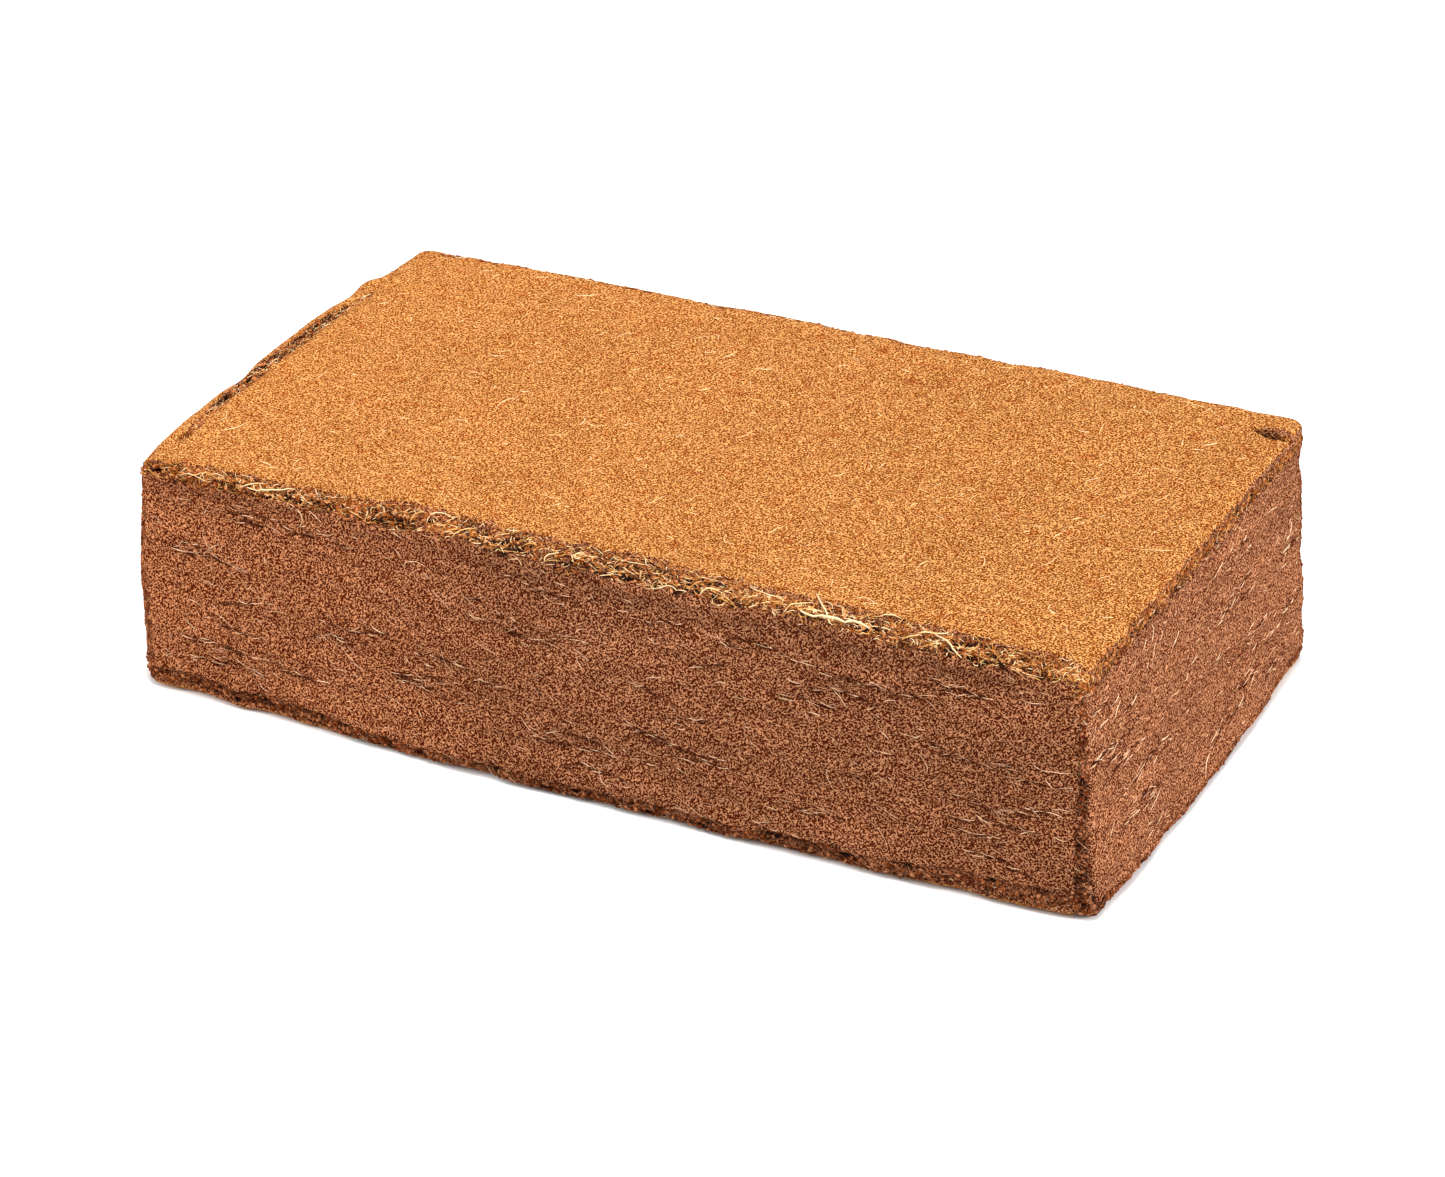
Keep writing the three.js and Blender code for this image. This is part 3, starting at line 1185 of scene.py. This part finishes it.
def fibre_material(name, stops):
    """Dry husk fibre, each its own shade, with darker and paler stretches."""
    _, tree, shader, position = new_material(name)
    stretch = noise_at(tree, position, 1.2 * MM, 2.0, 0.5)
    shade = weighted_sum(tree, attribute_value(tree, "tone"), (stretch, 0.9))
    set_surface(tree, shader, ramp(tree, shade, stops), 0.8, 0.1)


def make_materials(colours):
    """All of the coir's materials, made once."""
    grain = pith_grain_group()
    colour = coir_colour_group(colours)
    skin_material(grain, colour)
    pith_material("crust_pith", colour, 1.0)
    pith_material("torn_pith", colour, 0.35)
    pith_material("layer_pith", colour, 0.0)
    fibre_material(
        "layer_fibre",
        (
            (0.0, colours.layer_dark),
            (0.25, colours.husk),
            (0.6, colours.layer_light),
            (1.0, colours.thread),
        ),
    )
    fibre_material(
        "crust_fibre",
        ((0.0, colours.crust_mid), (0.5, colours.crust_light), (1.0, colours.straw_pale)),
    )
    fibre_material(
        "fringe_fibre",
        (
            (0.0, colours.husk),
            (0.18, colours.crust_mid),
            (0.5, colours.straw),
            (0.85, colours.straw_pale),
        ),
    )


# Operators


class COIR_OT_materials(bpy.types.Operator):
    """Makes the materials of crust, layers, pith and fibres"""

    bl_idname = "coir.materials"
    bl_label = "Make the coir's materials"

    def execute(self, context):
        make_materials(context.scene.coir_colours)
        return {"FINISHED"}


def all_splits():
    return side_splits(np.random.default_rng(SPLIT_SEED), bpy.context.scene.coir_skin.splits)


class COIR_OT_skin(bpy.types.Operator):
    """Lays a fine skin with crust, layers and crumbled edges over the solid block"""

    bl_idname = "coir.skin"
    bl_label = "Add the block's skin"

    def execute(self, context):
        settings = context.scene.coir_skin
        skin, plain = smooth_skin(settings.cell / MM, settings.layer_cell / MM)
        LINES.extend(worn_lines(plain, np.array([v.co for v in skin.verts])))
        refine_worn(skin, LINES)
        places = np.array([v.co for v in skin.verts])
        normals = np.array([v.normal for v in skin.verts])

        side = 1 - smoothstep(0.5, 0.85, np.abs(normals[:, Z]))
        coarse = 0.6 + 0.9 * smoothstep(-20, 100, places[:, X])
        lumps = field(places, 9) + 0.8 * field(places, 2.6) + 0.5 * field(places, 1.3)
        crust_out = settings.crust_relief / MM * coarse * lumps
        ridges = field(places, (11, 11, 1.5)) + 0.6 * field(places, (4.5, 4.5, 0.7))
        ridges += 0.4 * field(places, 1.2)
        split = split_relief(places, normals, all_splits())
        layer_out = settings.layer_relief / MM * ridges - settings.split_depth / MM * split
        depth, painted_shade, bare = torn_relief(places, LINES)
        groove, flake = crack_relief(places)
        out = (1 - side) * crust_out + side * layer_out - depth
        out += FLAKE_RISE * flake - CRACK_DEPTH * groove
        # Painted shade of the worn pits, the splits and the crack.
        painted_shade = np.max([painted_shade, SPLIT_SHADE * split * side, CRACK_SHADE * groove], axis=0)
        crust = smoothstep(0.3, 0.7, np.abs(normals[:, Z]) + 0.22 * field(places, 1.9)) * (1 - bare)
        crust *= 1 - 0.8 * smoothstep(0.4, 0.75, flake)

        # The foot is a plane, so what faces down only moves up.
        down = normals[:, Z] < -0.7
        moved = places + normals * out[:, None]
        moved[down] = places[down]
        moved[down, Z] += np.minimum(FOOT_RELIEF, np.abs(out[down]))
        moved[:, Z] = np.maximum(moved[:, Z], 0.0)
        for vert, place in zip(skin.verts, moved * MM):
            vert.co = place
        mesh = bpy.data.meshes.new("pressed_skin")
        skin.to_mesh(mesh)
        skin.free()
        point_values(mesh, "painted_shade", painted_shade)
        point_values(mesh, "crust", crust)
        piece = place_piece(mesh, "pressed_skin", bpy.data.materials["pith_skin"])
        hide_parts(NODE)
        return {"FINISHED"}


class COIR_OT_layer_fibres(bpy.types.Operator):
    """Lays fibres along the layers of the four sides, and along their splits"""

    bl_idname = "coir.layer_fibres"
    bl_label = "Add the fibres of the sides"

    def execute(self, context):
        settings = context.scene.coir_fibres
        tree = laying_tree()
        batch = FibreBatch(np.random.default_rng(settings.seed))
        for axis in (X, Y):
            count = int(side_area(axis) * settings.on_layers)
            for sign in (-1, 1):
                lay_on_side(batch, tree, axis, sign, count, settings)
        lay_along_splits(batch, tree, all_splits(), settings)
        place_piece(batch.mesh("layer_fibres"), "layer_fibres", bpy.data.materials["layer_fibre"])
        return {"FINISHED"}


class COIR_OT_crust_fibres(bpy.types.Operator):
    """Lays faint fibres every way on the pressed faces"""

    bl_idname = "coir.crust_fibres"
    bl_label = "Add the fibres of the crust"

    def execute(self, context):
        settings = context.scene.coir_fibres
        batch = FibreBatch(np.random.default_rng(settings.seed + 10))
        tree = laying_tree()
        count = int(side_area(Z) * settings.on_crust)
        for sign in (-1, 1):
            lay_on_side(batch, tree, Z, sign, count, settings)
        place_piece(batch.mesh("crust_fibres"), "crust_fibres", bpy.data.materials["crust_fibre"])
        return {"FINISHED"}


class COIR_OT_fringe(bpy.types.Operator):
    """Lays the torn, tangled fringe along the front top edge"""

    bl_idname = "coir.fringe"
    bl_label = "Add the torn fringe"

    def execute(self, context):
        settings = context.scene.coir_fibres
        batch = FibreBatch(np.random.default_rng(settings.seed + 20))
        tree = laying_tree()
        count = int(2 * HALF[X] / 10 * settings.in_fringe)
        for share, style in ((1 - STRAW_SHARE, FRINGE_MAT), (STRAW_SHARE, FRINGE_STRAWS)):
            number = int(share * count)
            lay_in_band(batch, tree, FRONT_TOP, number, style, settings.thickness, FRINGE_DENSITY)
        for start, end, thickness in LONG_STRAWS:
            lay_long_straw(batch, tree, start, end, thickness)
        place_piece(batch.mesh("torn_fringe"), "torn_fringe", bpy.data.materials["fringe_fibre"])
        return {"FINISHED"}


class COIR_OT_edge_fibres(bpy.types.Operator):
    """Lays frayed fibres along the other edges"""

    bl_idname = "coir.edge_fibres"
    bl_label = "Add the frayed edges"

    def execute(self, context):
        settings = context.scene.coir_fibres
        tree = laying_tree()
        pieces = (
            ("frayed_top_edges", (LEFT_TOP, RIGHT_TOP, BACK_TOP), "fringe_fibre"),
            ("frayed_edges", OTHER_EDGES, "layer_fibre"),
        )
        for number, (name, edges, material) in enumerate(pieces):
            batch = FibreBatch(np.random.default_rng(settings.seed + 30 + number))
            for edge in edges:
                line, widths = band_of(edge)
                deeper = 1 + 2 * edge.depth
                count = int(line_length(line) / 10 * settings.on_edges * deeper * widths.mean())
                lay_in_band(batch, tree, edge, count, FRAY, settings.thickness)
            place_piece(batch.mesh(name), name, bpy.data.materials[material])
        return {"FINISHED"}


class COIR_OT_bits(bpy.types.Operator):
    """Scatters bits of short fibre over the crust and the sides"""

    bl_idname = "coir.bits"
    bl_label = "Add the bits of fibre"

    def execute(self, context):
        settings = context.scene.coir_pith
        tree = laying_tree(1)
        painted_shade = painted_shade_faces()
        pieces = (
            ("crust_bits", ((Z, 1), (Z, -1)), settings.crust_bits / 2, (0.4, 1.1), "crust_pith"),
            ("long_side_bits", ((Y, -1), (Y, 1)), settings.layer_bits, (0.5, 1.7), "layer_pith"),
            ("end_bits", ((X, -1), (X, 1)), settings.layer_bits, (0.5, 1.6), "layer_pith"),
        )
        for number, (name, sides, density, lengths, material) in enumerate(pieces):
            draws = np.random.default_rng(settings.seed + number)
            places, normals, headings = scatter_bits(draws, tree, painted_shade, sides, density)
            count = len(places)
            widths = settings.bit / MM * draws.uniform(0.6, 1.2, count)
            sizes = draws.uniform(*lengths, count)
            bends = 0.7 * draws.normal(size=count)
            sinks = widths * draws.uniform(-0.1, 0.35, count)
            points, faces = bit_bodies(places, normals, headings, sizes, widths, bends, sinks)
            mesh = joined_mesh(name, points, faces)
            point_values(mesh, "tone", np.repeat(draws.uniform(*BIT_TONES, count), 8))
            place_piece(mesh, name, bpy.data.materials[material])
        return {"FINISHED"}


class COIR_OT_crumbs(bpy.types.Operator):
    """Sets crumbs of pith along the worn edges"""

    bl_idname = "coir.crumbs"
    bl_label = "Add the crumbs"

    def execute(self, context):
        settings = context.scene.coir_pith
        tree = laying_tree(2)
        shape = crumb_shape()
        pieces = (
            ("torn_crumbs", TOP_EDGES, "torn_pith"),
            ("edge_crumbs", OTHER_EDGES, "layer_pith"),
        )
        for number, (name, edges, material) in enumerate(pieces):
            draws = np.random.default_rng(settings.seed + 5 + number)
            places, normals = [], []
            for edge in edges:
                line, widths = band_of(edge)
                area = line_length(line) * widths.mean() * 2 / 100
                for _ in range(int(area * settings.crumbs * min(1.0, edge.depth + 0.2))):
                    place, normal = tree.find_nearest(random_in_band(draws, line, widths))[:2]
                    places.append(place)
                    normals.append(normal)
            widths = settings.crumb / MM * draws.uniform(0.4, 1.25, len(places))
            points, faces = crumb_bodies(np.array(places), np.array(normals), widths, draws, shape)
            mesh = joined_mesh(name, points, faces)
            point_values(mesh, "tone", np.repeat(draws.random(len(places)) * CRUMB_TONES, len(shape[0])))
            place_piece(mesh, name, bpy.data.materials[material])
        return {"FINISHED"}


# The softboxes: name, place, width, watts and aim. Places and widths here are in metres.
AIM = (0, 0, 0.02)
SOFTBOXES = (
    ("key_softbox", (0.1, -0.1, 1.2), 0.5, 15.0, AIM),
    ("left_softbox", (-0.5, -0.3, 0.3), 0.25, 2.0, (-0.1, -0.05, 0.02)),
    ("right_softbox", (0.9, 0.05, 0.4), 0.4, 8.2, AIM),
)
SKY_STRENGTH = 0.5
FLOOR_REACH = 6.0

# What the camera aims at on the block, in millimetres.
CAMERA_AIM = (-3.16, 6.97, 14.14)


def add_softbox(name, place, size, power, aim):
    """A square softbox that faces its aim."""
    light = bpy.data.lights.new(name, "AREA")
    light.size = size
    light.energy = power
    lamp = bpy.data.objects.new(name, light)
    lamp.location = place
    lamp.rotation_euler = (Vector(aim) - Vector(place)).to_track_quat("-Z", "Y").to_euler()
    bpy.context.scene.collection.objects.link(lamp)


class COIR_OT_stage(bpy.types.Operator):
    """Sets the pale floor, the soft light and the camera"""

    bl_idname = "coir.stage"
    bl_label = "Set the stage"

    def execute(self, context):
        scene = context.scene
        settings = scene.coir_stage

        ground = bmesh.new()
        bmesh.ops.create_grid(ground, x_segments=1, y_segments=1, size=FLOOR_REACH)
        bmesh.ops.translate(ground, vec=Vector((0, 0, -0.1 * MM)), verts=ground.verts)
        mesh = bpy.data.meshes.new("floor")
        ground.to_mesh(mesh)
        ground.free()
        material, _, shader, _ = new_material("pale_floor")
        shader.inputs["Base Color"].default_value = (*settings.floor_colour, 1)
        shader.inputs["Roughness"].default_value = 1.0
        shader.inputs["Specular IOR Level"].default_value = 0.0
        mesh.materials.append(material)
        floor = bpy.data.objects.new("floor", mesh)
        scene.collection.objects.link(floor)

        world = bpy.data.worlds.new("studio")
        world.use_nodes = True
        sky = world.node_tree.nodes["Background"]
        sky.inputs["Color"].default_value = (1, 1, 1, 1)
        sky.inputs["Strength"].default_value = SKY_STRENGTH
        scene.world = world

        for softbox in SOFTBOXES:
            add_softbox(*softbox)

        turn = (
            Matrix.Rotation(np.radians(settings.azimuth), 3, "Z")
            @ Matrix.Rotation(np.radians(90 - settings.elevation), 3, "X")
            @ Matrix.Rotation(np.radians(settings.roll), 3, "Z")
        )
        camera = bpy.data.cameras.new("camera")
        camera.sensor_width = 36.0
        camera.lens = settings.lens
        camera.clip_start = 0.01
        view = bpy.data.objects.new("camera", camera)
        target = Vector(CAMERA_AIM) * MM
        view.matrix_world = Matrix.Translation(target + turn.col[2] * settings.distance) @ turn.to_4x4()
        scene.collection.objects.link(view)
        scene.camera = view

        scene.view_settings.view_transform = "Standard"
        return {"FINISHED"}


class COIR_PT_panel(bpy.types.Panel):
    """Lists the steps in the order in which they are done."""

    bl_idname = "COIR_PT_panel"
    bl_label = "Coir brick"
    bl_space_type = "VIEW_3D"
    bl_region_type = "UI"
    bl_category = "Coir"

    def draw(self, context):
        for operator in OPERATORS:
            self.layout.operator(operator.bl_idname)


OPERATORS = (
    COIR_OT_materials,
    COIR_OT_skin,
    COIR_OT_layer_fibres,
    COIR_OT_crust_fibres,
    COIR_OT_fringe,
    COIR_OT_edge_fibres,
    COIR_OT_bits,
    COIR_OT_crumbs,
    COIR_OT_stage,
)
SETTINGS = {
    "coir_skin": SkinSettings,
    "coir_fibres": FibreSettings,
    "coir_pith": PithSettings,
    "coir_colours": ColourSettings,
    "coir_stage": StageSettings,
}


def register():
    for kind in (*SETTINGS.values(), *OPERATORS, COIR_PT_panel):
        bpy.utils.register_class(kind)
    for name, kind in SETTINGS.items():
        setattr(bpy.types.Scene, name, PointerProperty(type=kind))


def unregister():
    for name in SETTINGS:
        delattr(bpy.types.Scene, name)
    for kind in (*SETTINGS.values(), *OPERATORS, COIR_PT_panel):
        bpy.utils.unregister_class(kind)


def main():
    register()
    bpy.ops.coir.materials()
    bpy.ops.coir.skin()
    bpy.ops.coir.layer_fibres()
    bpy.ops.coir.crust_fibres()
    bpy.ops.coir.fringe()
    bpy.ops.coir.edge_fibres()
    bpy.ops.coir.bits()
    bpy.ops.coir.crumbs()
    bpy.ops.coir.stage()
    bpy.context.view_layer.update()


if __name__ == "__main__":
    main()
